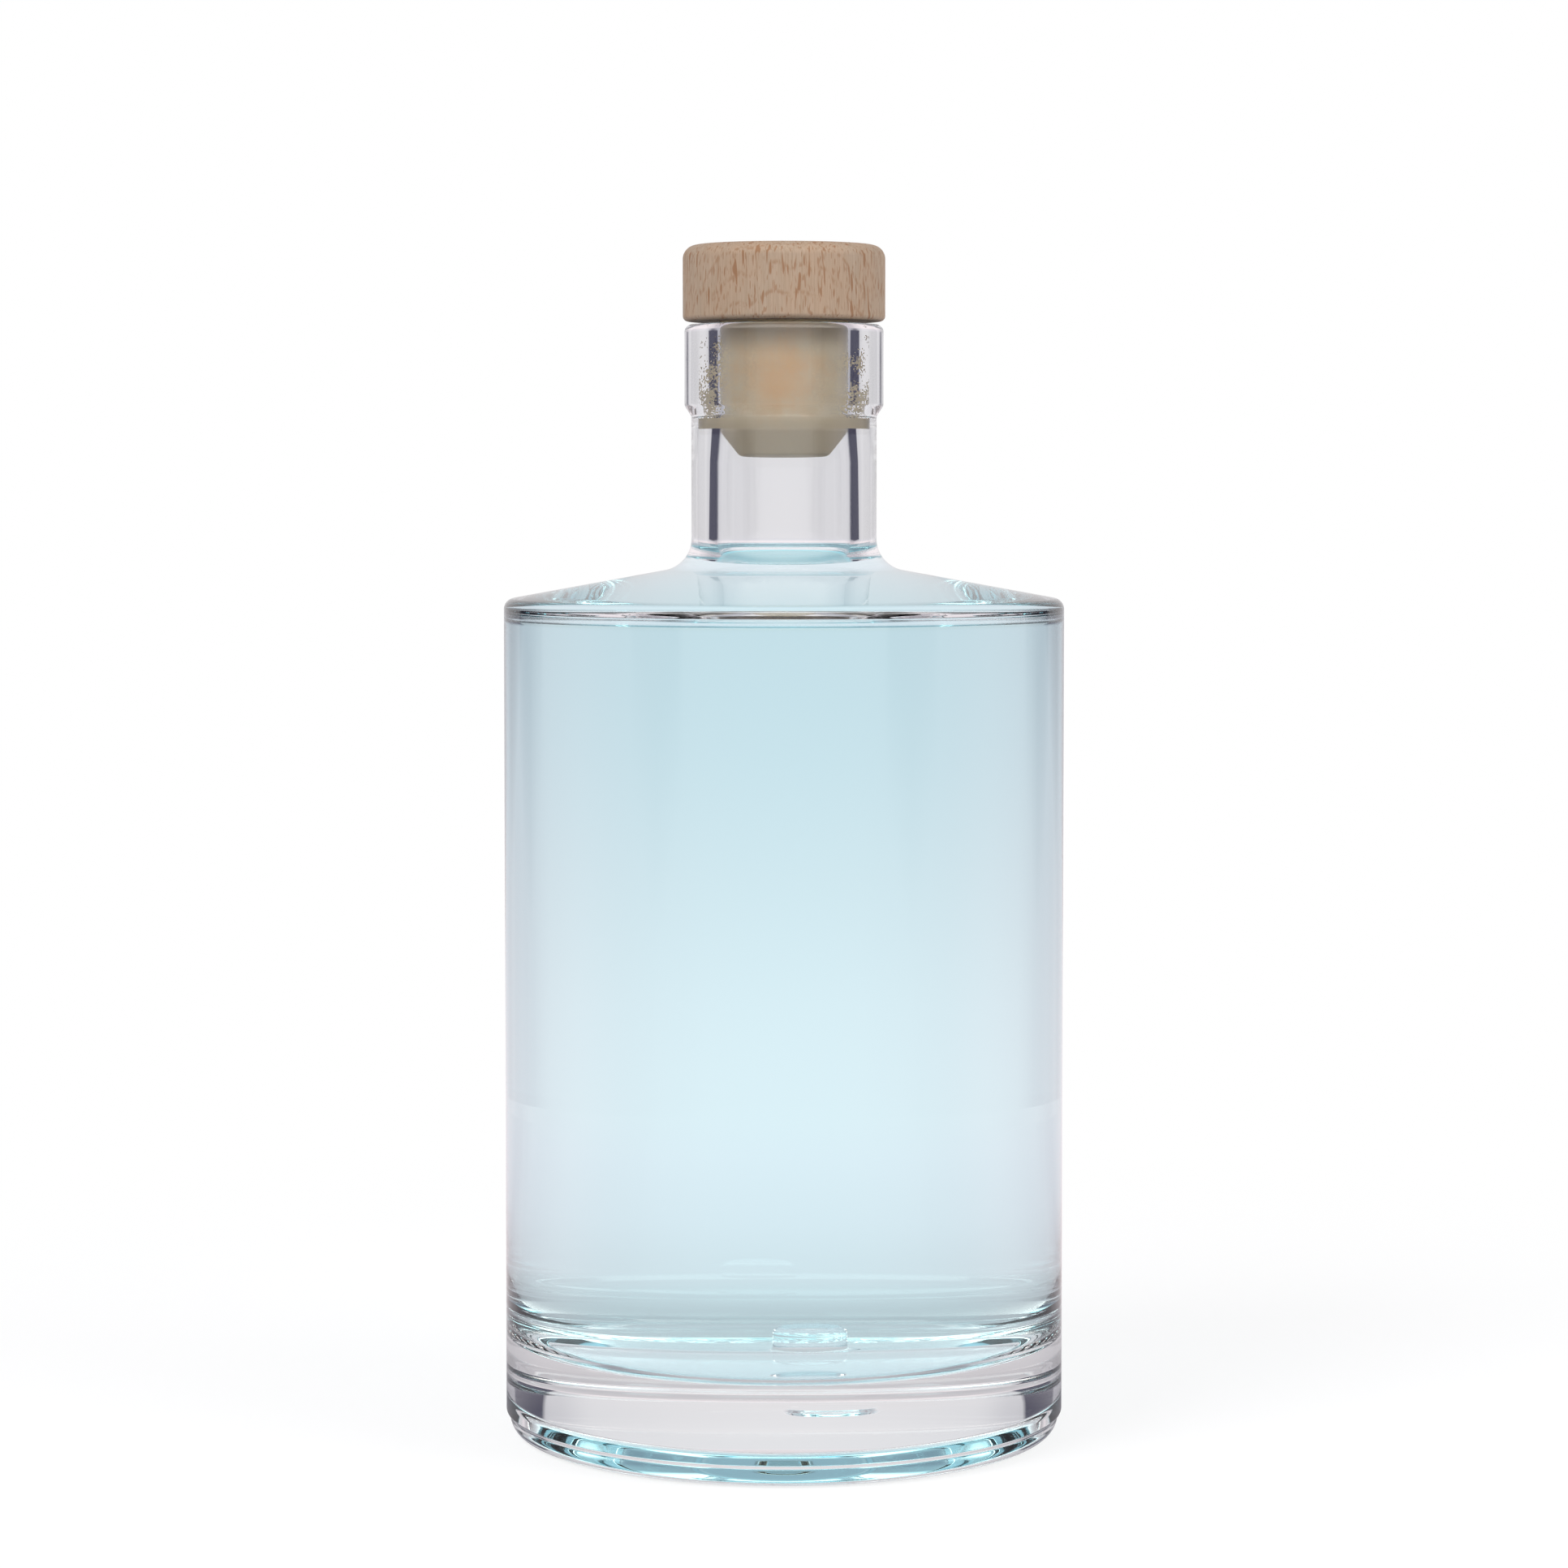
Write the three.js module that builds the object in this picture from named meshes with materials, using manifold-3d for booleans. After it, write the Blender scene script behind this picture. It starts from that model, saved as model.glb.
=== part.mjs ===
// A clear glass bottle with a heavy base, filled with pale blue liquid up to its neck and
// closed by a push-in stopper: a turned beech head whose spigot plugs into a synthetic shank.
// Millimetres, +Z up. The origin is the centre of the surface that the bottle stands on.

import * as THREE from 'three';
import { mergeVertices } from 'three/addons/utils/BufferGeometryUtils.js';
import Module from 'manifold-3d';

const wasm = await Module();
wasm.setup();

// Bottle, outside
const bodyRadius = 43;
const bottleHeight = 170.6;
const shoulderEdgeHeight = 128.5; // where the straight side and the shoulder would meet
const shoulderSlope = 0.183; // rise of the shoulder for each millimetre towards the neck
const shoulderRound = 1.7;
const neckRadius = 14.2;
const neckRootRound = 5;

// Mouth: a thickened band that ends in a rounded lip
const mouthBandRadius = 15.25;
const mouthBandHeight = 12.4; // from the lip down to the slope under the band
const bandSlopeHeight = 1.6;
const bandRound = 0.9;
const lipRound = 1.1;

// Glass thickness
const wall = 4.3;
const shoulderWall = 2.8;
const baseThickness = 13.9;

// Bore: straight where the stopper seats, and a little wider below
const boreRadius = 10;
const boreDepth = 15.8;
const boreFlare = 0.4;
const boreFlareHeight = 5;
const boreMouthRound = 0.5;

// Cavity
const cavityHeelRound = 7;
const cavityShoulderRound = 2;
const cavityNeckRound = 3;

// Underside: a ring to stand on, round a shallow dome, below the seam of the mould's base plate
const bearingRingWidth = 5.2;
const pushUpHeight = 3.5;
const pushUpSlopeWidth = 5;
const pushUpRound = 5;
const ringInnerRound = 0.8;
const heelRound = 2.6;
const seamHeight = 2.9;
const seamStep = 0.6;
const seamRound = 0.5;

// Grip pattern of short grooves across the bearing ring
const grooveCount = 60;
const grooveWidth = 0.8;
const grooveDepth = 0.35;
const grooveMargin = 0.9; // of the ring that a groove leaves whole at each end

// A small round button on the cavity's floor, beside the axis
const pipRadius = 4.3;
const pipHeight = 4.1;
const pipRound = 1;
const pipOffset = 3;
const pipFootHeight = 1;

// Liquid
const liquidBelowNeck = 1.8; // from where the shoulder and the neck would meet
const liquidClearance = 0.3;

// Stopper
const headRadius = 15.5;
const headHeight = 11.6;
const headTopRound = 2;
const headUndersideRound = 0.7;
const headLift = 0.5; // between the lip and the underside of the head
const shankLength = 20.4;
const shankClearance = 0.3;
const shankTaperWidth = 3;
const shankTaperHeight = 3.9;
const shankEndRound = 0.8;
const spigotRadius = 5.5;
const spigotLength = 12;
const spigotClearance = 0.3;
const spigotChamfer = 0.8;

// Facets
const bottleSegments = 60;
const smallSegments = 48;
const roundDegrees = 18; // turn between two points of a rounded corner

const shoulderTopHeight = shoulderEdgeHeight + shoulderSlope * (bodyRadius - neckRadius);
const headUnderside = bottleHeight + headLift;
const shankRadius = boreRadius - shankClearance;
const cavityRadius = bodyRadius - wall;
const neckBoreRadius = boreRadius + boreFlare;
const ringOuterRadius = bodyRadius - seamStep;
const liquidLevel = shoulderTopHeight - liquidBelowNeck;

// The lathe profiles are lists of corners, [radius, height, rounding], in the order that goes
// round half of the solid's section, from the axis and back to it.
function roundedOutline(corners) {
  return corners.flatMap(([radius, height, rounding = 0], index) => {
    const corner = new THREE.Vector2(radius, height);
    if (!rounding) return [corner];
    const before = new THREE.Vector2(...corners[index - 1].slice(0, 2));
    const after = new THREE.Vector2(...corners[index + 1].slice(0, 2));
    return cornerArc(before, corner, after, rounding);
  });
}

// An arc that touches both sides of a corner.
function cornerArc(before, corner, after, rounding) {
  const back = before.clone().sub(corner).normalize();
  const ahead = after.clone().sub(corner).normalize();
  const halfAngle = Math.acos(back.dot(ahead)) / 2;
  const middle = back.clone().add(ahead).normalize();
  const centre = corner.clone().addScaledVector(middle, rounding / Math.sin(halfAngle));
  const start = corner.clone().addScaledVector(back, rounding / Math.tan(halfAngle)).sub(centre);
  const turn = Math.sign(back.cross(ahead)) * (halfAngle * 2 - Math.PI);
  const steps = Math.max(2, Math.ceil(Math.abs(turn) / THREE.MathUtils.degToRad(roundDegrees)));
  return Array.from({ length: steps + 1 }, (_, step) =>
    start.clone().rotateAround(new THREE.Vector2(), (turn * step) / steps).add(centre),
  );
}

function turned(corners, segments) {
  const geometry = new THREE.LatheGeometry(roundedOutline(corners), segments);
  geometry.rotateX(Math.PI / 2);
  return geometry;
}

// A closed geometry as a solid that can be joined and cut.
function toSolid(geometry) {
  geometry.deleteAttribute('normal');
  geometry.deleteAttribute('uv');
  const merged = mergeVertices(geometry, 1e-4);
  const corners = merged.index.array;
  const triVerts = [];
  for (let i = 0; i < corners.length; i += 3) {
    const [a, b, c] = corners.slice(i, i + 3);
    if (a !== b && b !== c && c !== a) triVerts.push(a, b, c);
  }
  const vertProperties = new Float32Array(merged.attributes.position.array);
  return new wasm.Manifold(
    new wasm.Mesh({ numProp: 3, vertProperties, triVerts: new Uint32Array(triVerts) }),
  );
}

function fromSolid(solid) {
  const { vertProperties, triVerts } = solid.getMesh();
  const geometry = new THREE.BufferGeometry();
  geometry.setAttribute('position', new THREE.BufferAttribute(vertProperties, 3));
  geometry.setIndex(new THREE.BufferAttribute(triVerts, 1));
  return geometry;
}

// Height of the cavity's shoulder, which follows the outer one at shoulderWall below it.
function cavityShoulderHeight(radius) {
  const drop = shoulderWall * Math.hypot(1, shoulderSlope);
  return shoulderTopHeight - shoulderSlope * (radius - neckRadius) - drop;
}

// Corners of the underside and the outside, from the axis to the lip.
function bottleOutside() {
  const ringInnerRadius = ringOuterRadius - heelRound - bearingRingWidth;
  const bandFoot = bottleHeight - mouthBandHeight;
  return [
    [0, pushUpHeight],
    [ringInnerRadius - pushUpSlopeWidth, pushUpHeight, pushUpRound],
    [ringInnerRadius, 0, ringInnerRound],
    [ringOuterRadius, 0, heelRound],
    [ringOuterRadius, seamHeight],
    [bodyRadius, seamHeight + seamStep, seamRound],
    [bodyRadius, shoulderEdgeHeight, shoulderRound],
    [neckRadius, shoulderTopHeight, neckRootRound],
    [neckRadius, bandFoot - bandSlopeHeight, bandRound],
    [mouthBandRadius, bandFoot, bandRound],
    [mouthBandRadius, bottleHeight, lipRound],
  ];
}

// Corners of the inside, from the lip to the middle of the floor.
function bottleInside() {
  const boreEnd = bottleHeight - boreDepth;
  return [
    [boreRadius, bottleHeight, boreMouthRound],
    [boreRadius, boreEnd],
    [neckBoreRadius, boreEnd - boreFlareHeight],
    [neckBoreRadius, cavityShoulderHeight(neckBoreRadius), cavityNeckRound],
    [cavityRadius, cavityShoulderHeight(cavityRadius), cavityShoulderRound],
    [cavityRadius, baseThickness, cavityHeelRound],
    [0, baseThickness],
  ];
}

// The button stands on a foot that is sunk into the floor. Growth makes it larger all round.
function pip(growth) {
  const radius = pipRadius + growth;
  const foot = baseThickness - pipFootHeight;
  const top = baseThickness + pipHeight + growth;
  const corners = [[0, foot], [radius, foot], [radius, top, pipRound + growth], [0, top]];
  return toSolid(turned(corners, smallSegments / 2).translate(pipOffset, 0, 0));
}

// The grooves are cut across the middle of the bearing ring, and leave both its rims whole.
function grooves() {
  const middle = ringOuterRadius - heelRound - bearingRingWidth / 2;
  const grooveLength = bearingRingWidth - 2 * grooveMargin;
  return Array.from({ length: grooveCount }, (_, index) => {
    const bar = new THREE.BoxGeometry(grooveLength, grooveWidth, grooveDepth * 2);
    bar.translate(middle, 0, 0);
    return toSolid(bar.rotateZ((index / grooveCount) * Math.PI * 2));
  });
}

function glassBottle() {
  const blown = toSolid(turned([...bottleOutside(), ...bottleInside()], bottleSegments));
  return fromSolid(wasm.Manifold.union([blown, pip(0)]).subtract(wasm.Manifold.union(grooves())));
}

// The contents fill the cavity up to their level, which lies where the shoulder runs into the neck.
function liquid() {
  const gap = liquidClearance;
  const slopeGap = gap * Math.hypot(1, shoulderSlope);
  const boreEnd = bottleHeight - boreDepth;
  const contents = turned(
    [
      [0, baseThickness + gap],
      [cavityRadius - gap, baseThickness + gap, cavityHeelRound - gap],
      [cavityRadius - gap, cavityShoulderHeight(cavityRadius - gap) - slopeGap, cavityShoulderRound - gap],
      [neckBoreRadius - gap, cavityShoulderHeight(neckBoreRadius - gap) - slopeGap, cavityNeckRound + gap],
      [neckBoreRadius - gap, boreEnd],
      [0, boreEnd],
    ],
    smallSegments,
  );
  const filled = toSolid(contents).trimByPlane([0, 0, -1], -liquidLevel);
  return fromSolid(filled.subtract(pip(gap)));
}

// One turned piece: the grip and the spigot that is glued into the shank.
function woodenHead() {
  const spigotEnd = headUnderside - spigotLength;
  return turned(
    [
      [0, spigotEnd],
      [spigotRadius - spigotChamfer, spigotEnd],
      [spigotRadius, spigotEnd + spigotChamfer],
      [spigotRadius, headUnderside],
      [headRadius, headUnderside, headUndersideRound],
      [headRadius, headUnderside + headHeight, headTopRound],
      [0, headUnderside + headHeight],
    ],
    smallSegments,
  );
}

// A moulded plug with a blind hole for the spigot and a tapered end that finds the bore.
function stopperShank() {
  const end = headUnderside - shankLength;
  const holeRadius = spigotRadius + spigotClearance;
  const holeEnd = headUnderside - spigotLength - spigotClearance;
  return turned(
    [
      [0, end],
      [shankRadius - shankTaperWidth, end, shankEndRound],
      [shankRadius, end + shankTaperHeight, shankEndRound],
      [shankRadius, headUnderside],
      [holeRadius, headUnderside],
      [holeRadius, holeEnd],
      [0, holeEnd],
    ],
    smallSegments,
  );
}

function piece(name, geometry, look) {
  const mesh = new THREE.Mesh(geometry, new THREE.MeshStandardMaterial(look));
  mesh.name = name;
  return mesh;
}

const bottle = new THREE.Group();
bottle.add(
  piece('glass_bottle', glassBottle(), {
    color: 0xe6eef0, roughness: 0.02, metalness: 0, transparent: true, opacity: 0.3,
  }),
  piece('liquid', liquid(), {
    color: 0xbfe3ee, roughness: 0.02, metalness: 0, transparent: true, opacity: 0.5,
  }),
);

const stopper = new THREE.Group();
stopper.add(
  piece('wooden_head', woodenHead(), { color: 0xb89a80, roughness: 0.7, metalness: 0 }),
  piece('stopper_shank', stopperShank(), { color: 0xb5ad92, roughness: 0.5, metalness: 0 }),
);

const stopperedBottle = new THREE.Group();
stopperedBottle.add(bottle, stopper);

export default stopperedBottle;
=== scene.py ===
"""A clear glass bottle with a heavy base, filled with pale blue liquid and closed by a stopper
with a turned beech head and a translucent shank. Metres, +Z up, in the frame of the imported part."""
from math import acos, atan2, ceil, cos, hypot, pi, radians, sin, tan

import bpy
from mathutils import Matrix, Vector, noise as field


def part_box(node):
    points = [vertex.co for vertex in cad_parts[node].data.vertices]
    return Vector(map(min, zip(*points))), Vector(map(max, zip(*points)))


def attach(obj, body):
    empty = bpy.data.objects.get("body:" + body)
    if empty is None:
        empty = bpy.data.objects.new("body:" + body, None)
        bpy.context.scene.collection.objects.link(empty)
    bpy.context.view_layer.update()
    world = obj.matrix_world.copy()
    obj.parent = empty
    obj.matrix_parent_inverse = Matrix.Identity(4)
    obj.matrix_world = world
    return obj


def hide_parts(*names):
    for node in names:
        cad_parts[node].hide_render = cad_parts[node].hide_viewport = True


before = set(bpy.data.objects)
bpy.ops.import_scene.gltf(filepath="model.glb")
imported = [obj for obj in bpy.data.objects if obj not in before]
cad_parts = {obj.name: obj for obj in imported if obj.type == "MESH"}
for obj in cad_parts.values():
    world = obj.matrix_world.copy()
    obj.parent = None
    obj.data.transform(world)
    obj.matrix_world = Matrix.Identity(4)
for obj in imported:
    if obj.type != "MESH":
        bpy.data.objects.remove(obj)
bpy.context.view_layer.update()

MM = 0.001

# Sizes that the frame gives
GLASS_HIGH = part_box("glass_bottle")[1]
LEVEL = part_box("liquid")[1].z
HEAD_LOW, HEAD_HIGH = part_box("wooden_head")
SHANK_LOW, SHANK_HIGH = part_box("stopper_shank")
BODY_RADIUS = GLASS_HIGH.x
LIP_HEIGHT = GLASS_HIGH.z
HEAD_RADIUS = HEAD_HIGH.x
HEAD_TOP = HEAD_HIGH.z
HEAD_UNDERSIDE = SHANK_HIGH.z

# Outside of the glass
SHOULDER_EDGE_HEIGHT = LIP_HEIGHT - 42.1 * MM
SHOULDER_SLOPE = 0.183
SHOULDER_ROUND = 1.7 * MM
NECK_RADIUS = 14.2 * MM
NECK_ROOT_ROUND = 5 * MM
BAND_RADIUS = 15.25 * MM
BAND_HEIGHT = 12.4 * MM
BAND_SLOPE_HEIGHT = 1.6 * MM
BAND_ROUND = 0.9 * MM
LIP_ROUND = 1.1 * MM

# Inside of the glass
WALL = 4.3 * MM
SHOULDER_WALL = 2.8 * MM
BASE_THICKNESS = 13.9 * MM
BORE_RADIUS = 9.9 * MM
BORE_MOUTH_ROUND = 0.5 * MM
BORE_FLARE = 0.4 * MM
BORE_FLARE_HEIGHT = 5 * MM
CAVITY_HEEL_ROUND = 7 * MM
CAVITY_SHOULDER_ROUND = 2 * MM
CAVITY_NECK_ROUND = 3 * MM

# A round button on the floor of the cavity
PIP_CENTRE = Vector((3, 0)) * MM
PIP_RADIUS = 4.3 * MM
PIP_HEIGHT = 4.1 * MM
PIP_ROUND = 1 * MM

# Underside, with a low dimple in its middle part
SEAM_HEIGHT = 2.9 * MM
SEAM_STEP = 0.6 * MM
SEAM_ROUND = 0.5 * MM
HEEL_ROUND = 2.6 * MM
BEARING_RING_WIDTH = 5.2 * MM
RING_INNER_ROUND = 0.8 * MM
PUSH_UP_HEIGHT = 3.5 * MM
PUSH_UP_SLOPE_WIDTH = 5 * MM
PUSH_UP_ROUND = 5 * MM
DIMPLE_CENTRE = Vector((3.9, 18)) * MM
DIMPLE_RADIUS = 4 * MM
DIMPLE_HEIGHT = 0.5 * MM
DIMPLE_ROUND = 0.25 * MM
DIMPLE_MARGIN = 5 * MM  # of the push-up's flat that the dimple's place leaves as it is

# Short grooves across the bearing ring
GROOVE_COUNT = 60
GROOVE_DEPTH = 0.35 * MM
GROOVE_MARGIN = 0.9 * MM
GROOVE_END = 0.3 * MM

# The band where a rib of the shank presses on the glass, with a film of liquid between them
SEAL_LOW = LIP_HEIGHT - 15.9 * MM
SEAL_HIGH = SEAL_LOW + 1.6 * MM
FILM = 0.04 * MM
RIB_SLOPE_HEIGHT = 0.3 * MM
RIB_FOOT_ROUND = 1 * MM

# Damp patches above it
DAMP_HIGH = LIP_HEIGHT - 1.8 * MM
DAMP_STEP = 0.13 * MM
DAMP_PATCH = 2.4 * MM
DAMP_SPECK = 0.3 * MM
PATCH_SHARE = 0.8
DAMPNESS = 0.02
DRYING = 0.5  # from the seal to the top of the damp part

# Stopper
SHANK_RADIUS = 9.78 * MM
SHANK_TAPER_WIDTH = 3 * MM
SHANK_END_ROUND = 1.2 * MM
SPIGOT_RADIUS = 5.5 * MM
SPIGOT_CLEARANCE = 0.3 * MM
SPIGOT_CHAMFER = 0.8 * MM
HEAD_TOP_ROUND = 2.1 * MM
HEAD_UNDERSIDE_ROUND = 0.8 * MM

# Surface of the liquid, which climbs a little at the glass
MENISCUS_HEIGHT = 0.5 * MM
MENISCUS_WIDTH = 1.4 * MM
MENISCUS_CURVE = 2.6
MENISCUS_STEPS = 12
CONTACT_GAP = 0.01 * MM  # between the glass and the liquid

GLASS_SEGMENTS = 300
HEAD_SEGMENTS = 192
SHANK_SEGMENTS = 128
ROUND_DEGREES = 5
AXIS_TOLERANCE = 1e-6 * MM
RING_TOLERANCE = 0.01 * MM

SHOULDER_TOP = SHOULDER_EDGE_HEIGHT + SHOULDER_SLOPE * (BODY_RADIUS - NECK_RADIUS)
CAVITY_RADIUS = BODY_RADIUS - WALL
NECK_BORE_RADIUS = BORE_RADIUS + BORE_FLARE
RING_OUTER_RADIUS = BODY_RADIUS - SEAM_STEP
RING_FLAT_OUTER = RING_OUTER_RADIUS - HEEL_ROUND
RING_INNER = RING_FLAT_OUTER - BEARING_RING_WIDTH
GROOVE_OUTER = RING_FLAT_OUTER - GROOVE_MARGIN
GROOVE_INNER = RING_INNER + GROOVE_MARGIN
PUSH_UP_RADIUS = RING_INNER - PUSH_UP_SLOPE_WIDTH


# Profiles. Their corners are (radius, height) or (radius, height, rounding).

def corner_arc(before, corner, after, rounding):
    """An arc that touches both sides of a corner."""
    back = (before - corner).normalized()
    ahead = (after - corner).normalized()
    half = acos(max(-1, min(1, back.dot(ahead)))) / 2
    centre = corner + (back + ahead).normalized() * (rounding / sin(half))
    start = corner + back * (rounding / tan(half)) - centre
    side = 1 if back.x * ahead.y - back.y * ahead.x > 0 else -1
    turn = side * (2 * half - pi)
    steps = max(2, ceil(abs(turn) / radians(ROUND_DEGREES)))
    return [centre + Matrix.Rotation(turn * k / steps, 2) @ start for k in range(steps + 1)]


def rounded(corners):
    points = []
    for i, (radius, height, *rounding) in enumerate(corners):
        corner = Vector((radius, height))
        if not rounding:
            points.append(corner)
            continue
        before = Vector(corners[i - 1][:2])
        after = Vector(corners[i + 1][:2])
        points += corner_arc(before, corner, after, rounding[0])
    return points


def subdivided(points, longest):
    """The same outline with no stretch longer than longest."""
    out = [points[0]]
    for a, b in zip(points, points[1:]):
        count = max(1, ceil((b - a).length / longest))
        out += [a.lerp(b, k / count) for k in range(1, count + 1)]
    return out


def moved_in(points, distance):
    """An outline that runs down the glass and inwards, moved off the glass by a distance."""
    out = []
    for i, point in enumerate(points):
        along = (points[min(i + 1, len(points) - 1)] - points[max(i - 1, 0)]).normalized()
        out.append(point + Vector((along.y, -along.x)) * distance)
    return out


def parted(points, height):
    """An outline that runs down, as the part above a height and the part from there on."""
    first = next(i for i, point in enumerate(points) if point.y < height)
    above, below = points[first - 1], points[first]
    edge = above.lerp(below, (above.y - height) / (above.y - below.y))
    return points[:first] + [edge], [edge] + points[first:]


def cavity_shoulder(radius):
    """Height of the cavity's shoulder, which follows the outer one at the shoulder's wall."""
    drop = SHOULDER_WALL * hypot(1, SHOULDER_SLOPE)
    return SHOULDER_TOP - SHOULDER_SLOPE * (radius - NECK_RADIUS) - drop


def outside_profile():
    """The underside, the outside and the bore, from the axis to the top of the seal."""
    band_foot = LIP_HEIGHT - BAND_HEIGHT
    return rounded([
        (0, PUSH_UP_HEIGHT + DIMPLE_HEIGHT),
        (DIMPLE_RADIUS - DIMPLE_ROUND, PUSH_UP_HEIGHT + DIMPLE_HEIGHT, DIMPLE_ROUND),
        (DIMPLE_RADIUS, PUSH_UP_HEIGHT, DIMPLE_ROUND / 2),
        (PUSH_UP_RADIUS, PUSH_UP_HEIGHT, PUSH_UP_ROUND),
        (RING_INNER, 0, RING_INNER_ROUND),
        (GROOVE_INNER - GROOVE_END, 0),
        (GROOVE_INNER, 0),
        (GROOVE_OUTER, 0),
        (GROOVE_OUTER + GROOVE_END, 0),
        (RING_OUTER_RADIUS, 0, HEEL_ROUND),
        (RING_OUTER_RADIUS, SEAM_HEIGHT),
        (BODY_RADIUS, SEAM_HEIGHT + SEAM_STEP, SEAM_ROUND),
        (BODY_RADIUS, SHOULDER_EDGE_HEIGHT, SHOULDER_ROUND),
        (NECK_RADIUS, SHOULDER_TOP, NECK_ROOT_ROUND),
        (NECK_RADIUS, band_foot - BAND_SLOPE_HEIGHT, BAND_ROUND),
        (BAND_RADIUS, band_foot, BAND_ROUND),
        (BAND_RADIUS, LIP_HEIGHT, LIP_ROUND),
        (BORE_RADIUS, LIP_HEIGHT, BORE_MOUTH_ROUND),
        (BORE_RADIUS, SEAL_HIGH),
    ])


def inside_profile():
    """The inside below the seal, down to the middle of the floor."""
    return rounded([
        (BORE_RADIUS, SEAL_LOW),
        (NECK_BORE_RADIUS, SEAL_LOW - BORE_FLARE_HEIGHT),
        (NECK_BORE_RADIUS, cavity_shoulder(NECK_BORE_RADIUS), CAVITY_NECK_ROUND),
        (CAVITY_RADIUS, cavity_shoulder(CAVITY_RADIUS), CAVITY_SHOULDER_ROUND),
        (CAVITY_RADIUS, BASE_THICKNESS, CAVITY_HEEL_ROUND),
        (PIP_RADIUS, BASE_THICKNESS, PIP_ROUND),
        (PIP_RADIUS, BASE_THICKNESS + PIP_HEIGHT, PIP_ROUND),
        (0, BASE_THICKNESS + PIP_HEIGHT),
    ])


# Meshes

def turned(point, segments):
    """The vertices that a profile's point becomes. On the axis that is a single one."""
    if point.x < AXIS_TOLERANCE:
        return [(0, 0, point.y)]
    turns = [2 * pi * k / segments for k in range(segments)]
    return [(point.x * cos(turn), point.x * sin(turn), point.y) for turn in turns]


def lathe(name, profile, segments, slots=None):
    """Turns a profile about the axis. Slots holds the material slot of each stretch of it."""
    verts, rings = [], []
    for point in profile:
        ring = turned(point, segments)
        rings.append(range(len(verts), len(verts) + len(ring)))
        verts += ring
    faces, face_slots = [], []
    for stretch, (low, high) in enumerate(zip(rings, rings[1:])):
        for k in range(segments):
            n = (k + 1) % segments
            if len(low) == 1:
                face = (low[0], high[n], high[k])
            elif len(high) == 1:
                face = (low[k], low[n], high[0])
            else:
                face = (low[k], low[n], high[n], high[k])
            faces.append(face)
            face_slots.append(slots[stretch] if slots else 0)
    mesh = bpy.data.meshes.new(name)
    mesh.from_pydata(verts, [], faces)
    mesh.polygons.foreach_set("material_index", face_slots)
    mesh.polygons.foreach_set("use_smooth", [True] * len(faces))
    mesh.validate()
    obj = bpy.data.objects.new(name, mesh)
    bpy.context.scene.collection.objects.link(obj)
    return obj


def slide(obj, low, high, inner, outer, shift):
    """Slides what lies between two heights sideways: fully within inner, and not past outer."""
    for vertex in obj.data.vertices:
        away = hypot(vertex.co.x, vertex.co.y)
        if low < vertex.co.z < high and away < outer:
            share = min(1, (outer - away) / (outer - inner))
            vertex.co.x += shift.x * share
            vertex.co.y += shift.y * share


def slide_pip(obj):
    low = BASE_THICKNESS - PIP_ROUND
    high = BASE_THICKNESS + PIP_HEIGHT + PIP_ROUND
    slide(obj, low, high, PIP_RADIUS + PIP_ROUND, CAVITY_RADIUS - CAVITY_HEEL_ROUND, PIP_CENTRE)


def slide_dimple(obj):
    outer = PUSH_UP_RADIUS - DIMPLE_MARGIN
    slide(obj, PUSH_UP_HEIGHT / 2, BASE_THICKNESS / 2, DIMPLE_RADIUS, outer, DIMPLE_CENTRE)


def dampen_bore(mesh):
    """Wets the bore beside the shank in small patches, more of them towards the seal."""
    for face in mesh.polygons:
        x, y, z = face.center
        if not SEAL_HIGH < z < DAMP_HIGH or hypot(x, y) > BORE_RADIUS + FILM:
            continue
        patch = field.noise(Vector((x, y, z)) / DAMP_PATCH)
        speck = field.noise(Vector((x, y, z)) / DAMP_SPECK)
        dryness = (z - SEAL_HIGH) / (DAMP_HIGH - SEAL_HIGH)
        if PATCH_SHARE * patch + speck > DRYING * dryness - DAMPNESS:
            face.material_index = 1


def cut_grooves(mesh):
    """Lifts a line of vertices across the bearing ring for each groove."""
    pitch = 2 * pi / GROOVE_COUNT
    line_spacing = GROOVE_COUNT / GLASS_SEGMENTS
    inner = GROOVE_INNER - RING_TOLERANCE
    outer = GROOVE_OUTER + RING_TOLERANCE
    for vertex in mesh.vertices:
        x, y, z = vertex.co
        on_ring = z < RING_TOLERANCE and inner < hypot(x, y) < outer
        off_groove = abs((atan2(y, x) / pitch + 0.5) % 1 - 0.5)
        if on_ring and off_groove < line_spacing / 2:
            vertex.co.z += GROOVE_DEPTH


def make_glass():
    """Slot 0 is glass against air and slot 1 is glass against liquid."""
    outside = outside_profile()
    outside = outside[:-2] + subdivided(outside[-2:], DAMP_STEP)
    dry_inside, wet = parted(inside_profile(), LEVEL + MENISCUS_HEIGHT)
    dry = len(dry_inside) - 1
    profile = outside + dry_inside + wet[1:]
    slots = [0] * (len(outside) - 1) + [1] + [0] * dry + [1] * (len(wet) - 1)
    obj = lathe("glass", profile, GLASS_SEGMENTS, slots)
    dampen_bore(obj.data)
    slide_pip(obj)
    cut_grooves(obj.data)
    slide_dimple(obj)
    return obj


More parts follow.
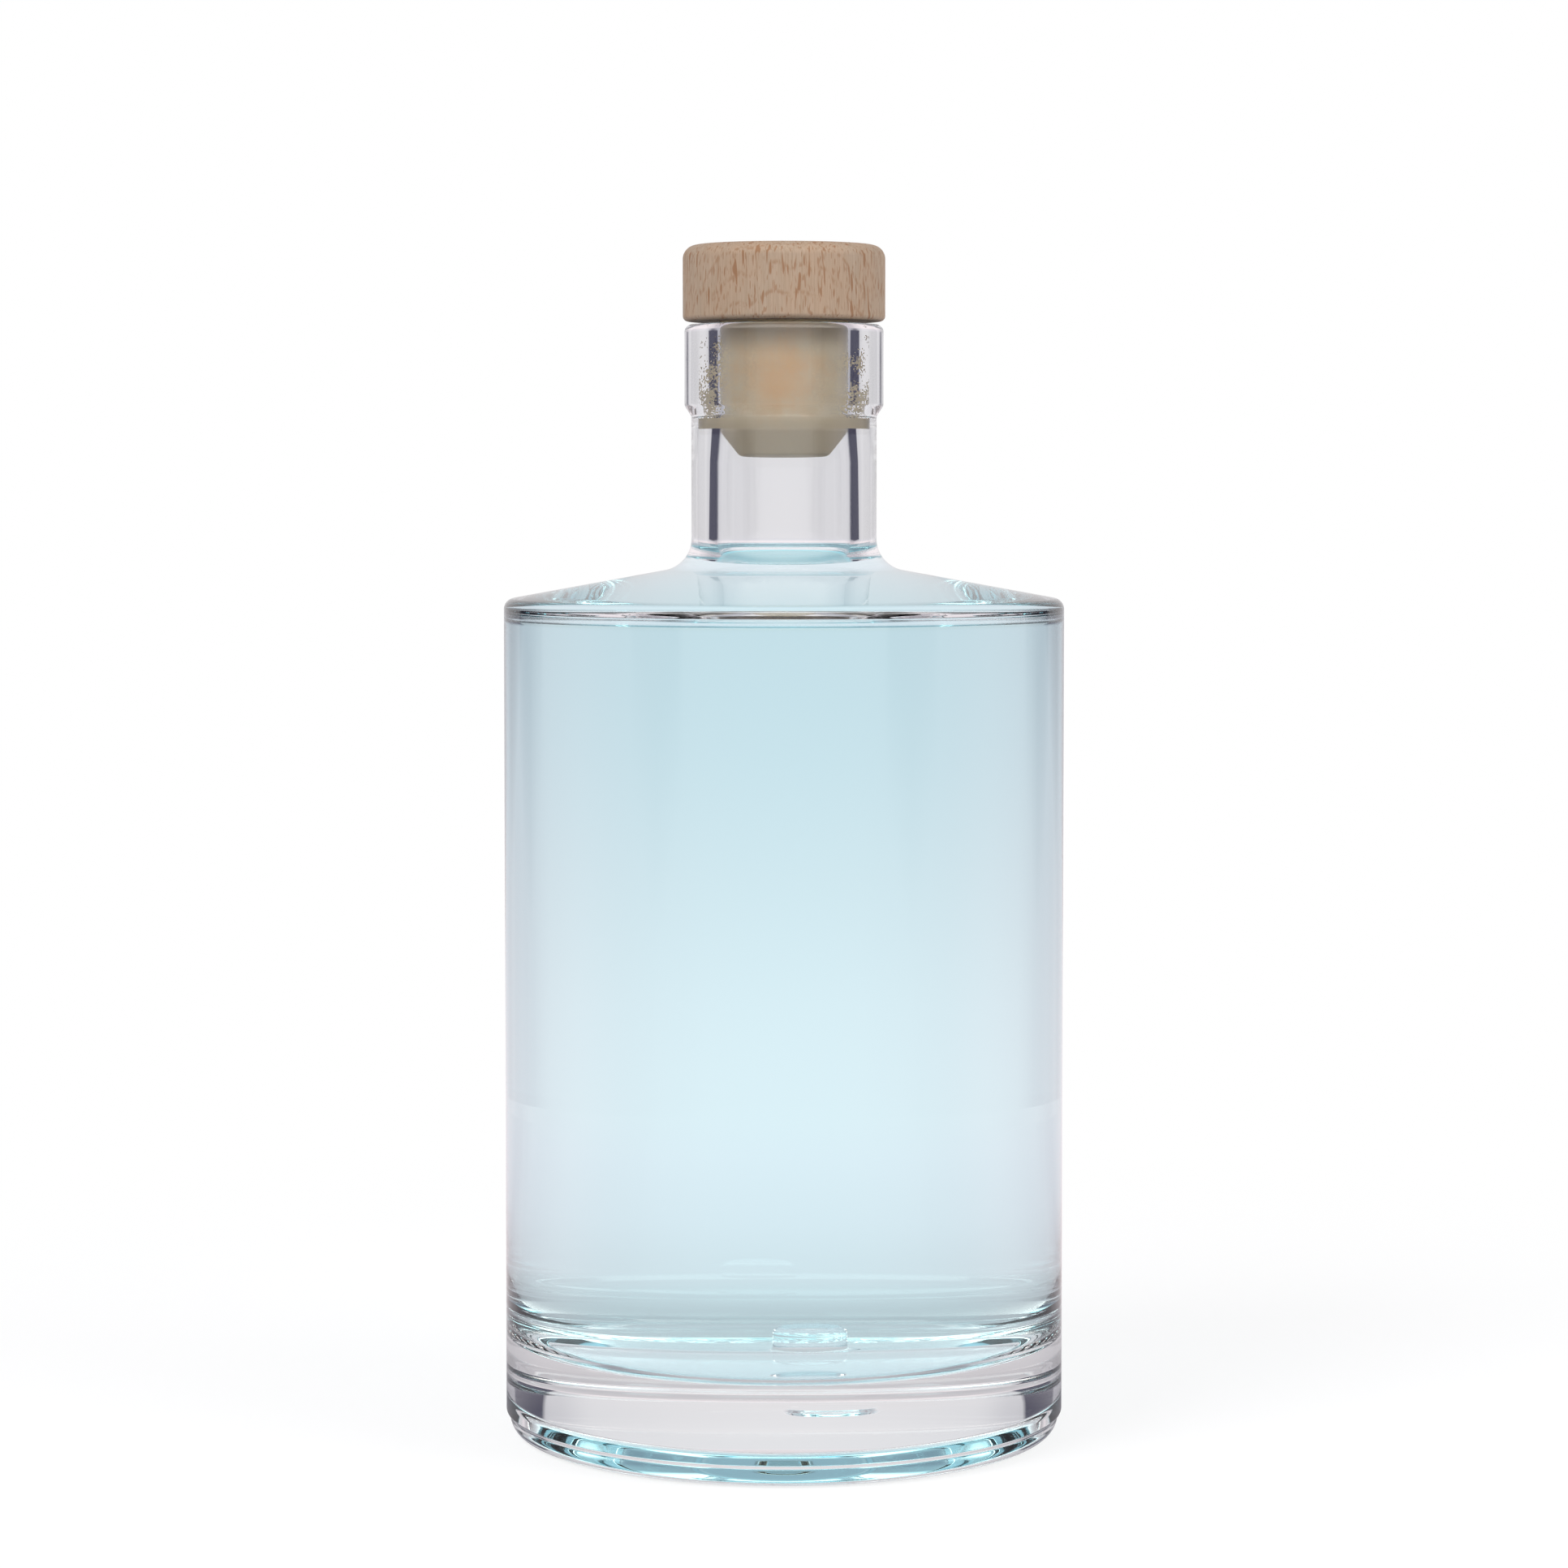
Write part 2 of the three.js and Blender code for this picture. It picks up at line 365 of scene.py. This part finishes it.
def make_liquid():
    """Slot 0 lies against the glass and slot 1 is the surface."""
    side = moved_in(parted(inside_profile(), LEVEL + MENISCUS_HEIGHT)[1], CONTACT_GAP)
    edge = side[0]
    surface = []
    for k in range(1, MENISCUS_STEPS + 1):
        t = k / MENISCUS_STEPS
        height = LEVEL + MENISCUS_HEIGHT * (1 - t) ** MENISCUS_CURVE
        surface.append(Vector((edge.x - MENISCUS_WIDTH * t, height)))
    surface.append(Vector((0, LEVEL)))
    slots = [0] * (len(side) - 1) + [1] * len(surface)
    obj = lathe("blue_liquid", side[::-1] + surface, GLASS_SEGMENTS, slots)
    slide_pip(obj)
    return obj


def make_shank():
    end = SHANK_LOW.z
    rib = BORE_RADIUS - FILM
    hole = SPIGOT_RADIUS + SPIGOT_CLEARANCE
    hole_end = HEAD_LOW.z - SPIGOT_CLEARANCE
    return lathe("shank", rounded([
        (0, end),
        (SHANK_RADIUS - SHANK_TAPER_WIDTH, end, SHANK_END_ROUND),
        (SHANK_RADIUS, SEAL_LOW - RIB_SLOPE_HEIGHT, RIB_FOOT_ROUND),
        (rib, SEAL_LOW),
        (rib, SEAL_HIGH),
        (SHANK_RADIUS, SEAL_HIGH + RIB_SLOPE_HEIGHT),
        (SHANK_RADIUS, HEAD_UNDERSIDE),
        (hole, HEAD_UNDERSIDE),
        (hole, hole_end),
        (0, hole_end),
    ]), SHANK_SEGMENTS)


def make_head():
    end = HEAD_LOW.z
    return lathe("beech_head", rounded([
        (0, end),
        (SPIGOT_RADIUS - SPIGOT_CHAMFER, end),
        (SPIGOT_RADIUS, end + SPIGOT_CHAMFER),
        (SPIGOT_RADIUS, HEAD_UNDERSIDE),
        (HEAD_RADIUS, HEAD_UNDERSIDE, HEAD_UNDERSIDE_ROUND),
        (HEAD_RADIUS, HEAD_TOP, HEAD_TOP_ROUND),
        (0, HEAD_TOP),
    ]), HEAD_SEGMENTS)


# Shader nodes

class Graph:
    """The nodes of a material or a world. Most methods add one node and give its result."""

    def __init__(self, tree):
        self.nodes = tree.nodes
        self.links = tree.links

    def feed(self, socket, value):
        """Links a socket to another node's result, or sets it to a plain value."""
        if isinstance(value, bpy.types.NodeSocket):
            self.links.new(value, socket)
        else:
            socket.default_value = value

    def feed_all(self, sockets, values):
        for socket, value in zip(sockets, values):
            self.feed(socket, value)

    def coordinates(self, kind):
        return self.nodes.new("ShaderNodeTexCoord").outputs[kind]

    def split(self, vector):
        node = self.nodes.new("ShaderNodeSeparateXYZ")
        self.links.new(vector, node.inputs[0])
        return node.outputs

    def math(self, operation, *values, clamp=False):
        node = self.nodes.new("ShaderNodeMath")
        node.operation = operation
        node.use_clamp = clamp
        self.feed_all(node.inputs, values)
        return node.outputs[0]

    def vector(self, operation, *values):
        node = self.nodes.new("ShaderNodeVectorMath")
        node.operation = operation
        self.feed_all(node.inputs, values)
        return node.outputs["Value" if operation == "LENGTH" else "Vector"]

    def noise(self, place, grain, detail=2.0, roughness=0.5):
        """Noise between 0 and 1. Grain is the size of its grains along X, Y and Z."""
        node = self.nodes.new("ShaderNodeTexNoise")
        node.inputs["Scale"].default_value = 1
        node.inputs["Detail"].default_value = detail
        node.inputs["Roughness"].default_value = roughness
        self.links.new(self.vector("DIVIDE", place, grain), node.inputs["Vector"])
        return node.outputs["Fac"]

    def between(self, value, low, high):
        """Zero up to low, one from high on, and a smooth rise between them."""
        node = self.nodes.new("ShaderNodeMapRange")
        node.interpolation_type = "SMOOTHSTEP"
        node.inputs["From Min"].default_value = low
        node.inputs["From Max"].default_value = high
        self.links.new(value, node.inputs["Value"])
        return node.outputs["Result"]

    def ramp(self, value, stops, interpolation="LINEAR"):
        node = self.nodes.new("ShaderNodeValToRGB")
        node.color_ramp.interpolation = interpolation
        elements = node.color_ramp.elements
        for element, (place, colour) in zip(elements, stops):
            element.position = place
            element.color = colour
        for place, colour in stops[2:]:
            elements.new(place).color = colour
        self.links.new(value, node.inputs[0])
        return node.outputs[0]

    def mix(self, factor, first, second, blend="MIX"):
        node = self.nodes.new("ShaderNodeMix")
        node.data_type = "RGBA"
        node.blend_type = blend
        sockets = [node.inputs[i] for i in (0, 6, 7)]  # the factor and the two colours
        self.feed_all(sockets, (factor, first, second))
        return node.outputs[2]

    def mix_shaders(self, factor, first, second):
        node = self.nodes.new("ShaderNodeMixShader")
        self.feed_all(node.inputs, (factor, first, second))
        return node.outputs[0]

    def light(self, kind, colour, strength=1.0):
        """An emission or background shader."""
        node = self.nodes.new(kind)
        self.feed(node.inputs["Color"], colour)
        node.inputs["Strength"].default_value = strength
        return node.outputs[0]


def opaque(red, green, blue):
    return red, green, blue, 1


def grey(level, blue=0.0):
    """A grey that is a little bluer by the second number."""
    return opaque(level, level, level + blue)


WHITE = grey(1)


def new_material(name):
    material = bpy.data.materials.new(name)
    material.use_nodes = True
    graph = Graph(material.node_tree)
    return material, graph, graph.nodes["Principled BSDF"]


def material_output(graph, socket):
    return graph.nodes["Material Output"].inputs[socket]


# Glass and liquid. Each boundary has the ratio of the two indices that meet there, so the wet
# glass does the bending for the liquid's side, which then does none.
IOR_GLASS = 1.52
IOR_LIQUID = 1.333
GLASS_TINT = opaque(0.985, 0.99, 1.0)
LIQUID_COLOUR = opaque(0.0, 0.9, 0.985)
LIQUID_DENSITY = 4.4


def clear_material(name, ior, tint):
    material, graph, shader = new_material(name)
    shader.inputs["Base Color"].default_value = tint
    shader.inputs["Roughness"].default_value = 0
    shader.inputs["IOR"].default_value = ior
    shader.inputs["Transmission Weight"].default_value = 1
    return material, graph


def glass_material(name, ior):
    material, _ = clear_material(name, ior, GLASS_TINT)
    return material


def liquid_material(name, ior):
    material, graph = clear_material(name, ior, WHITE)
    volume = graph.nodes.new("ShaderNodeVolumeAbsorption")
    volume.inputs["Color"].default_value = LIQUID_COLOUR
    volume.inputs["Density"].default_value = LIQUID_DENSITY
    graph.links.new(volume.outputs[0], material_output(graph, "Volume"))
    return material


# Beech. Places and grains are in millimetres, and the grain runs along Z. An edge is the range of
# the noise in which a mark comes up.
BEECH = opaque(0.235, 0.172, 0.118)
BEECH_PALE = opaque(0.30, 0.225, 0.165)
BEECH_WARM = opaque(0.30, 0.19, 0.118)
BEECH_DARK = opaque(0.185, 0.088, 0.04)
PITH = (1.0, 42.0, 0.0)
RING_WIDTH = 2.4
RING_TAPER = 0.55
RING_WANDER = 5.0
RING_WANDER_GRAIN = (7, 7, 22)
RING_BREAK_GRAIN = (0.5, 0.5, 1.6)
RING_BREAK_EDGE = (0.42, 0.62)
RING_STRENGTH = 0.55
LATE_WOOD = (0.72, 0.88, 1.0)  # where in a ring it starts, is darkest and ends
FLECK_GRAIN = (0.5, 0.5, 3.4)
FLECK_EDGE = (0.66, 0.74)
FLECK_STRENGTH = 0.85
SMALL_FLECK_GRAIN = (0.25, 0.25, 3.4 / 2.2)
SMALL_FLECK_EDGE = (0.62, 0.74)
SMALL_FLECK_STRENGTH = 0.6
FIBRE_GRAIN = (0.22, 0.22, 5.0)
FIBRE_EDGE = (0.25, 0.75)
WARM_GRAIN = (4, 4, 9)
WARM_EDGE = (0.3, 0.7)
WARM_STRENGTH = 0.35
WOOD_ROUGHNESS = 0.62
WOOD_RELIEF = 0.05 * MM
WOOD_RELIEF_STRENGTH = 0.35


def millimetres(graph):
    return graph.vector("DIVIDE", graph.coordinates("Object"), (MM, MM, MM))


def growth_rings(graph, place):
    """Thin broken lines of late wood: rings round a pith that lies behind the head and leans,
    so the turned side cuts them into arches."""
    from_pith = graph.vector("MULTIPLY", graph.vector("SUBTRACT", place, PITH), (1, 1, 0))
    rise = graph.math("MULTIPLY", graph.split(place)[2], RING_TAPER)
    wander = graph.math("MULTIPLY", graph.noise(place, RING_WANDER_GRAIN), RING_WANDER)
    depth = graph.math("SUBTRACT", graph.vector("LENGTH", from_pith), rise)
    depth = graph.math("ADD", depth, wander)
    ring = graph.math("FRACT", graph.math("DIVIDE", depth, RING_WIDTH))
    start, darkest, end = LATE_WOOD
    rising = graph.between(ring, start, darkest)
    late = graph.math("SUBTRACT", rising, graph.between(ring, darkest, end))
    broken = graph.between(graph.noise(place, RING_BREAK_GRAIN), *RING_BREAK_EDGE)
    return graph.math("MULTIPLY", graph.math("MULTIPLY", late, broken), RING_STRENGTH)


def ray_flecks(graph, place):
    """Dark dashes along the grain, some long and many small."""
    long = graph.between(graph.noise(place, FLECK_GRAIN, detail=0.0), *FLECK_EDGE)
    small = graph.between(graph.noise(place, SMALL_FLECK_GRAIN, detail=0.0), *SMALL_FLECK_EDGE)
    long = graph.math("MULTIPLY", long, FLECK_STRENGTH)
    small = graph.math("MULTIPLY", small, SMALL_FLECK_STRENGTH)
    return graph.math("MAXIMUM", long, small)


def wood_material():
    material, graph, shader = new_material("beech")
    place = millimetres(graph)
    fibre = graph.noise(place, FIBRE_GRAIN, detail=3.0, roughness=0.6)
    flecks = ray_flecks(graph, place)
    colour = graph.mix(graph.between(fibre, *FIBRE_EDGE), BEECH, BEECH_PALE)
    warm = graph.between(graph.noise(place, WARM_GRAIN), *WARM_EDGE)
    colour = graph.mix(graph.math("MULTIPLY", warm, WARM_STRENGTH), colour, BEECH_WARM)
    dark = graph.math("MAXIMUM", flecks, growth_rings(graph, place))
    colour = graph.mix(dark, colour, BEECH_DARK)
    graph.links.new(colour, shader.inputs["Base Color"])
    shader.inputs["Roughness"].default_value = WOOD_ROUGHNESS

    bump = graph.nodes.new("ShaderNodeBump")
    bump.inputs["Strength"].default_value = WOOD_RELIEF_STRENGTH
    bump.inputs["Distance"].default_value = WOOD_RELIEF
    graph.links.new(graph.math("SUBTRACT", fibre, flecks), bump.inputs["Height"])
    graph.links.new(bump.outputs[0], shader.inputs["Normal"])
    return material


# Shank, a cloudy polymer. The glow is painted light: the warm spigot inside it, painted into the base
# colour as a glow, and runs right through along Y.
SHANK_COLOUR = opaque(0.88, 0.81, 0.63)
SHANK_ROUGHNESS = 0.45
SHANK_TRANSLUCENCY = 0.4
PAINTED_GLOW_COLOUR = opaque(0.93, 0.66, 0.38)
PAINTED_GLOW_PLACE = (-0.5, 0.0, 162.5)
PAINTED_GLOW_SIZE = (8.5, 1e4, 9.0)
PAINTED_GLOW_FADE = (0.45, 1.45)  # where it starts to fade and where it ends, as shares of its size
CLOUD_GRAIN = (3, 3, 4)
CLOUDINESS = 0.9


def shank_material():
    material, graph, shader = new_material("shank_polymer")
    place = millimetres(graph)
    clouds = graph.noise(place, CLOUD_GRAIN, detail=3.0, roughness=0.6)
    clouds = graph.math("MULTIPLY", clouds, CLOUDINESS)
    off_painted_glow = graph.vector("DIVIDE", graph.vector("SUBTRACT", place, PAINTED_GLOW_PLACE), PAINTED_GLOW_SIZE)
    off_painted_glow = graph.math("ADD", graph.vector("LENGTH", off_painted_glow), clouds)
    painted_glow = graph.math("SUBTRACT", 1.0, graph.between(off_painted_glow, *PAINTED_GLOW_FADE))
    # Painted glow: the base colour turns warm where the spigot lies inside, the same from every side
    colour = graph.mix(painted_glow, SHANK_COLOUR, PAINTED_GLOW_COLOUR)
    graph.links.new(colour, shader.inputs["Base Color"])
    shader.inputs["Roughness"].default_value = SHANK_ROUGHNESS
    through = graph.nodes.new("ShaderNodeBsdfTranslucent")
    graph.links.new(colour, through.inputs["Color"])
    cloudy = graph.mix_shaders(SHANK_TRANSLUCENCY, shader.outputs[0], through.outputs[0])
    graph.links.new(cloudy, material_output(graph, "Surface"))
    return material


# Studio. Rays that are refracted or mirrored see a backdrop whose colour changes with the
# elevation, in degrees, and with the turn from the Y axis, as a share of a right angle.
BACKDROP = [
    (-90, opaque(0.95, 0.90, 0.92)),
    (-8.9, opaque(1.03, 0.933, 0.947)),
    (-8.2, opaque(1.03, 0.933, 0.947)),
    (-7.26, opaque(1.01, 0.92, 0.936)),
    (-5.6, opaque(0.92, 0.857, 0.879)),
    (-3.93, opaque(0.828, 0.807, 0.838)),
    (-2.25, opaque(0.79, 0.776, 0.807)),
    (0, opaque(0.775, 0.76, 0.77)),
    (25, opaque(0.80, 0.80, 0.82)),
    (60, opaque(0.45, 0.47, 0.52)),
]
SIDE_LIGHT = [
    (0.0, grey(1)),
    (0.33, grey(0.97, 0.005)),
    (0.48, grey(0.82, 0.02)),
    (0.57, grey(0.74, 0.02)),
    (0.63, grey(0.60, 0.03)),
    (0.75, grey(0.55, 0.04)),
    (1.0, grey(0.75, 0.02)),
]

# Dark flags stand on both sides of the backdrop. Their lower edges come down to a point.
FLAG_COLOUR = opaque(0.025, 0.025, 0.06)
FLAG_TURN = 53 / 90
FLAG_HALF_WIDTH = 12 / 90
FLAG_SIDE_BLUR = 1 / 6  # of the half width
FLAG_LOW = -6.0
FLAG_LOW_BLUR = 4
FLAG_RISE = 3.0
FLAG_TOP = 20
FLAG_TOP_BLUR = 5
FLAG_LEAN = 0.5 / 90

# A large soft light above the camera: how far to the front and how high its edge fades in
FRONT_LIGHT = opaque(3.1, 2.95, 2.75)
FRONT_LIGHT_REACH = (0.1, 0.5)
FRONT_LIGHT_EDGE = (16, 26)

# Even light on the wood, the shank and the floor
FILL_COLOUR = opaque(0.92, 0.94, 1.0)
FILL_STRENGTH = 0.5


def turn_from_y(graph, x, y):
    turn = graph.math("ARCTAN2", graph.math("ABSOLUTE", x), graph.math("ABSOLUTE", y))
    return graph.math("DIVIDE", turn, pi / 2)


def dimmed_at_sides(graph, colour, turn):
    return graph.mix(1.0, colour, graph.ramp(turn, SIDE_LIGHT, "EASE"), "MULTIPLY")


def ray_kinds(graph):
    """Whether a ray is refracted or mirrored, and whether it comes straight from the camera."""
    path = graph.nodes.new("ShaderNodeLightPath").outputs
    bent = graph.math("MAXIMUM", path["Is Transmission Ray"], path["Is Glossy Ray"])
    return bent, path["Is Camera Ray"]


def flag_share(graph, elevation, turn):
    """One on the flags and zero beside them."""
    lean = graph.math("MULTIPLY", graph.math("MAXIMUM", elevation, 0.0), FLAG_LEAN)
    off_middle = graph.math("SUBTRACT", graph.math("SUBTRACT", turn, lean), FLAG_TURN)
    off_middle = graph.math("DIVIDE", graph.math("ABSOLUTE", off_middle), FLAG_HALF_WIDTH)
    low = graph.math("MULTIPLY_ADD", off_middle, FLAG_RISE, FLAG_LOW)
    above = graph.math("SUBTRACT", elevation, low)
    above = graph.math("DIVIDE", above, FLAG_LOW_BLUR, clamp=True)
    under = graph.math("SUBTRACT", FLAG_TOP, elevation)
    under = graph.math("DIVIDE", under, FLAG_TOP_BLUR, clamp=True)
    within = graph.math("SUBTRACT", 1.0, off_middle)
    within = graph.math("DIVIDE", within, FLAG_SIDE_BLUR, clamp=True)
    return graph.math("MULTIPLY", graph.math("MULTIPLY", above, under), within)


def studio_light(graph):
    """What a refracted or mirrored ray sees in each direction."""
    x, y, z = graph.split(graph.coordinates("Generated"))
    turn = turn_from_y(graph, x, y)
    elevation = graph.math("MULTIPLY", graph.math("ARCSINE", z), 180 / pi)
    height = graph.math("DIVIDE", graph.math("ADD", elevation, 90), 180)
    stops = [((degrees + 90) / 180, colour) for degrees, colour in BACKDROP]
    seen = dimmed_at_sides(graph, graph.ramp(height, stops), turn)
    seen = graph.mix(flag_share(graph, elevation, turn), seen, FLAG_COLOUR)
    in_front = graph.between(graph.math("MULTIPLY", y, -1.0), *FRONT_LIGHT_REACH)
    front = graph.math("MULTIPLY", in_front, graph.between(elevation, *FRONT_LIGHT_EDGE))
    return graph.mix(front, seen, FRONT_LIGHT)


def make_world():
    world = bpy.data.worlds.new("studio")
    bpy.context.scene.world = world
    world.use_nodes = True
    graph = Graph(world.node_tree)
    graph.nodes.clear()
    studio = graph.light("ShaderNodeBackground", studio_light(graph))
    white = graph.light("ShaderNodeBackground", WHITE)
    fill = graph.light("ShaderNodeBackground", FILL_COLOUR, FILL_STRENGTH)
    bent, direct = ray_kinds(graph)
    light = graph.mix_shaders(direct, graph.mix_shaders(bent, fill, studio), white)
    graph.links.new(light, graph.nodes.new("ShaderNodeOutputWorld").inputs[0])


# Floor, a round table top. Refracted and mirrored rays see a glowing colour that goes by the distance
# from the bottle's axis, in metres: a painted shadow, darkest at the bottle and lighter outwards.
FLOOR_RADIUS = 0.35
FLOOR_DROP = 0.05 * MM
FLOOR_SEGMENTS = 96
FLOOR_PAINT = opaque(0.85, 0.85, 0.86)
FLOOR_ROUGHNESS = 0.9
FLOOR_PAINTED_SHADOW = [
    (0.0, opaque(0.50, 0.50, 0.53)),
    (0.06, opaque(0.58, 0.56, 0.58)),
    (0.095, opaque(0.76, 0.72, 0.74)),
    (0.143, opaque(0.90, 0.82, 0.84)),
    (0.212, opaque(0.97, 0.875, 0.90)),
    (0.294, opaque(1.02, 0.915, 0.939)),
    (0.35, opaque(1.03, 0.933, 0.947)),
]

# Share of plain white in what the camera sees of the floor. The rest is paint, with its shadow.
FLOOR_WHITE_NEAR = 0.8
FLOOR_WHITE_REACH = (0.25, 0.85)


def floor_material():
    material, graph, paint = new_material("floor")
    paint.inputs["Base Color"].default_value = FLOOR_PAINT
    paint.inputs["Roughness"].default_value = FLOOR_ROUGHNESS
    place = graph.coordinates("Object")
    x, y, _ = graph.split(place)
    away = graph.math("DIVIDE", graph.vector("LENGTH", place), FLOOR_RADIUS)
    stops = [(radius / FLOOR_RADIUS, colour) for radius, colour in FLOOR_PAINTED_SHADOW]
    colour = dimmed_at_sides(graph, graph.ramp(away, stops), turn_from_y(graph, x, y))
    # Painted shadow for refracted and mirrored rays: an emission that darkens towards the bottle and
    # is dimmed at the sides
    studio = graph.light("ShaderNodeEmission", colour)
    bent, direct = ray_kinds(graph)
    inner = graph.mix_shaders(bent, paint.outputs[0], studio)
    outwards = graph.between(away, *FLOOR_WHITE_REACH)
    white = graph.math("MULTIPLY_ADD", outwards, 1 - FLOOR_WHITE_NEAR, FLOOR_WHITE_NEAR)
    white = graph.math("MULTIPLY", direct, white)
    outer = graph.mix_shaders(white, inner, graph.light("ShaderNodeEmission", WHITE))
    graph.links.new(outer, material_output(graph, "Surface"))
    return material


def make_floor():
    turns = [2 * pi * k / FLOOR_SEGMENTS for k in range(FLOOR_SEGMENTS)]
    verts = [(FLOOR_RADIUS * cos(t), FLOOR_RADIUS * sin(t), -FLOOR_DROP) for t in turns]
    mesh = bpy.data.meshes.new("floor")
    mesh.from_pydata(verts, [], [tuple(range(FLOOR_SEGMENTS))])
    mesh.materials.append(floor_material())
    floor = bpy.data.objects.new("floor", mesh)
    bpy.context.scene.collection.objects.link(floor)


LAMP_SIZE = 0.6
LAMP_AIM = Vector((0, 0, 0.1))


def area_lamp(name, place, power):
    light = bpy.data.lights.new(name, "AREA")
    light.shape = "DISK"
    light.size = LAMP_SIZE
    light.energy = power
    lamp = bpy.data.objects.new(name, light)
    lamp.location = place
    lamp.rotation_mode = "QUATERNION"
    lamp.rotation_quaternion = (LAMP_AIM - Vector(place)).to_track_quat("-Z", "Y")
    bpy.context.scene.collection.objects.link(lamp)
    lamp.visible_camera = False
    lamp.visible_glossy = False
    lamp.visible_transmission = False


# Camera, level with the bottle's neck and tipped down a little
PHOTO_WIDTH_PX = 1932
FOCAL_PX = 5367.5
CAMERA_DISTANCE = 669.8 * MM
CAMERA_HEIGHT = 147.5 * MM
CAMERA_TIP = radians(3.226)
CAMERA_SHIFT = -0.04
SENSOR_WIDTH = 36


def make_camera():
    data = bpy.data.cameras.new("camera")
    data.sensor_width = SENSOR_WIDTH
    data.lens = SENSOR_WIDTH * FOCAL_PX / PHOTO_WIDTH_PX
    data.shift_y = CAMERA_SHIFT
    data.clip_start = 0.01
    camera = bpy.data.objects.new("camera", data)
    camera.location = (0, -CAMERA_DISTANCE, CAMERA_HEIGHT)
    camera.rotation_euler = (pi / 2 - CAMERA_TIP, 0, 0)
    bpy.context.scene.collection.objects.link(camera)
    bpy.context.scene.camera = camera


def make_bottle():
    glass = make_glass()
    glass.data.materials.append(glass_material("clear_glass", IOR_GLASS))
    glass.data.materials.append(glass_material("wet_glass", IOR_GLASS / IOR_LIQUID))
    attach(glass, "bottle")
    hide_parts("glass_bottle")

    liquid = make_liquid()
    liquid.data.materials.append(liquid_material("liquid_side", 1.0))
    liquid.data.materials.append(liquid_material("liquid_surface", IOR_LIQUID))
    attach(liquid, "bottle")
    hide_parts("liquid")


def make_stopper():
    head = make_head()
    head.data.materials.append(wood_material())
    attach(head, "stopper")
    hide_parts("wooden_head")

    shank = make_shank()
    shank.data.materials.append(shank_material())
    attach(shank, "stopper")
    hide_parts("stopper_shank")


def set_view():
    """Enough bounces for light to pass through the glass and the liquid."""
    scene = bpy.context.scene
    scene.view_settings.view_transform = "Standard"
    scene.cycles.max_bounces = 32
    scene.cycles.transmission_bounces = 32
    scene.cycles.glossy_bounces = 12
    scene.cycles.diffuse_bounces = 8
    scene.cycles.transparent_max_bounces = 16


make_camera()
make_bottle()
make_stopper()
make_world()
make_floor()
area_lamp("key", place=(-0.5, -0.5, 0.7), power=9)
area_lamp("fill", place=(0.6, -0.3, 0.4), power=5)
set_view()
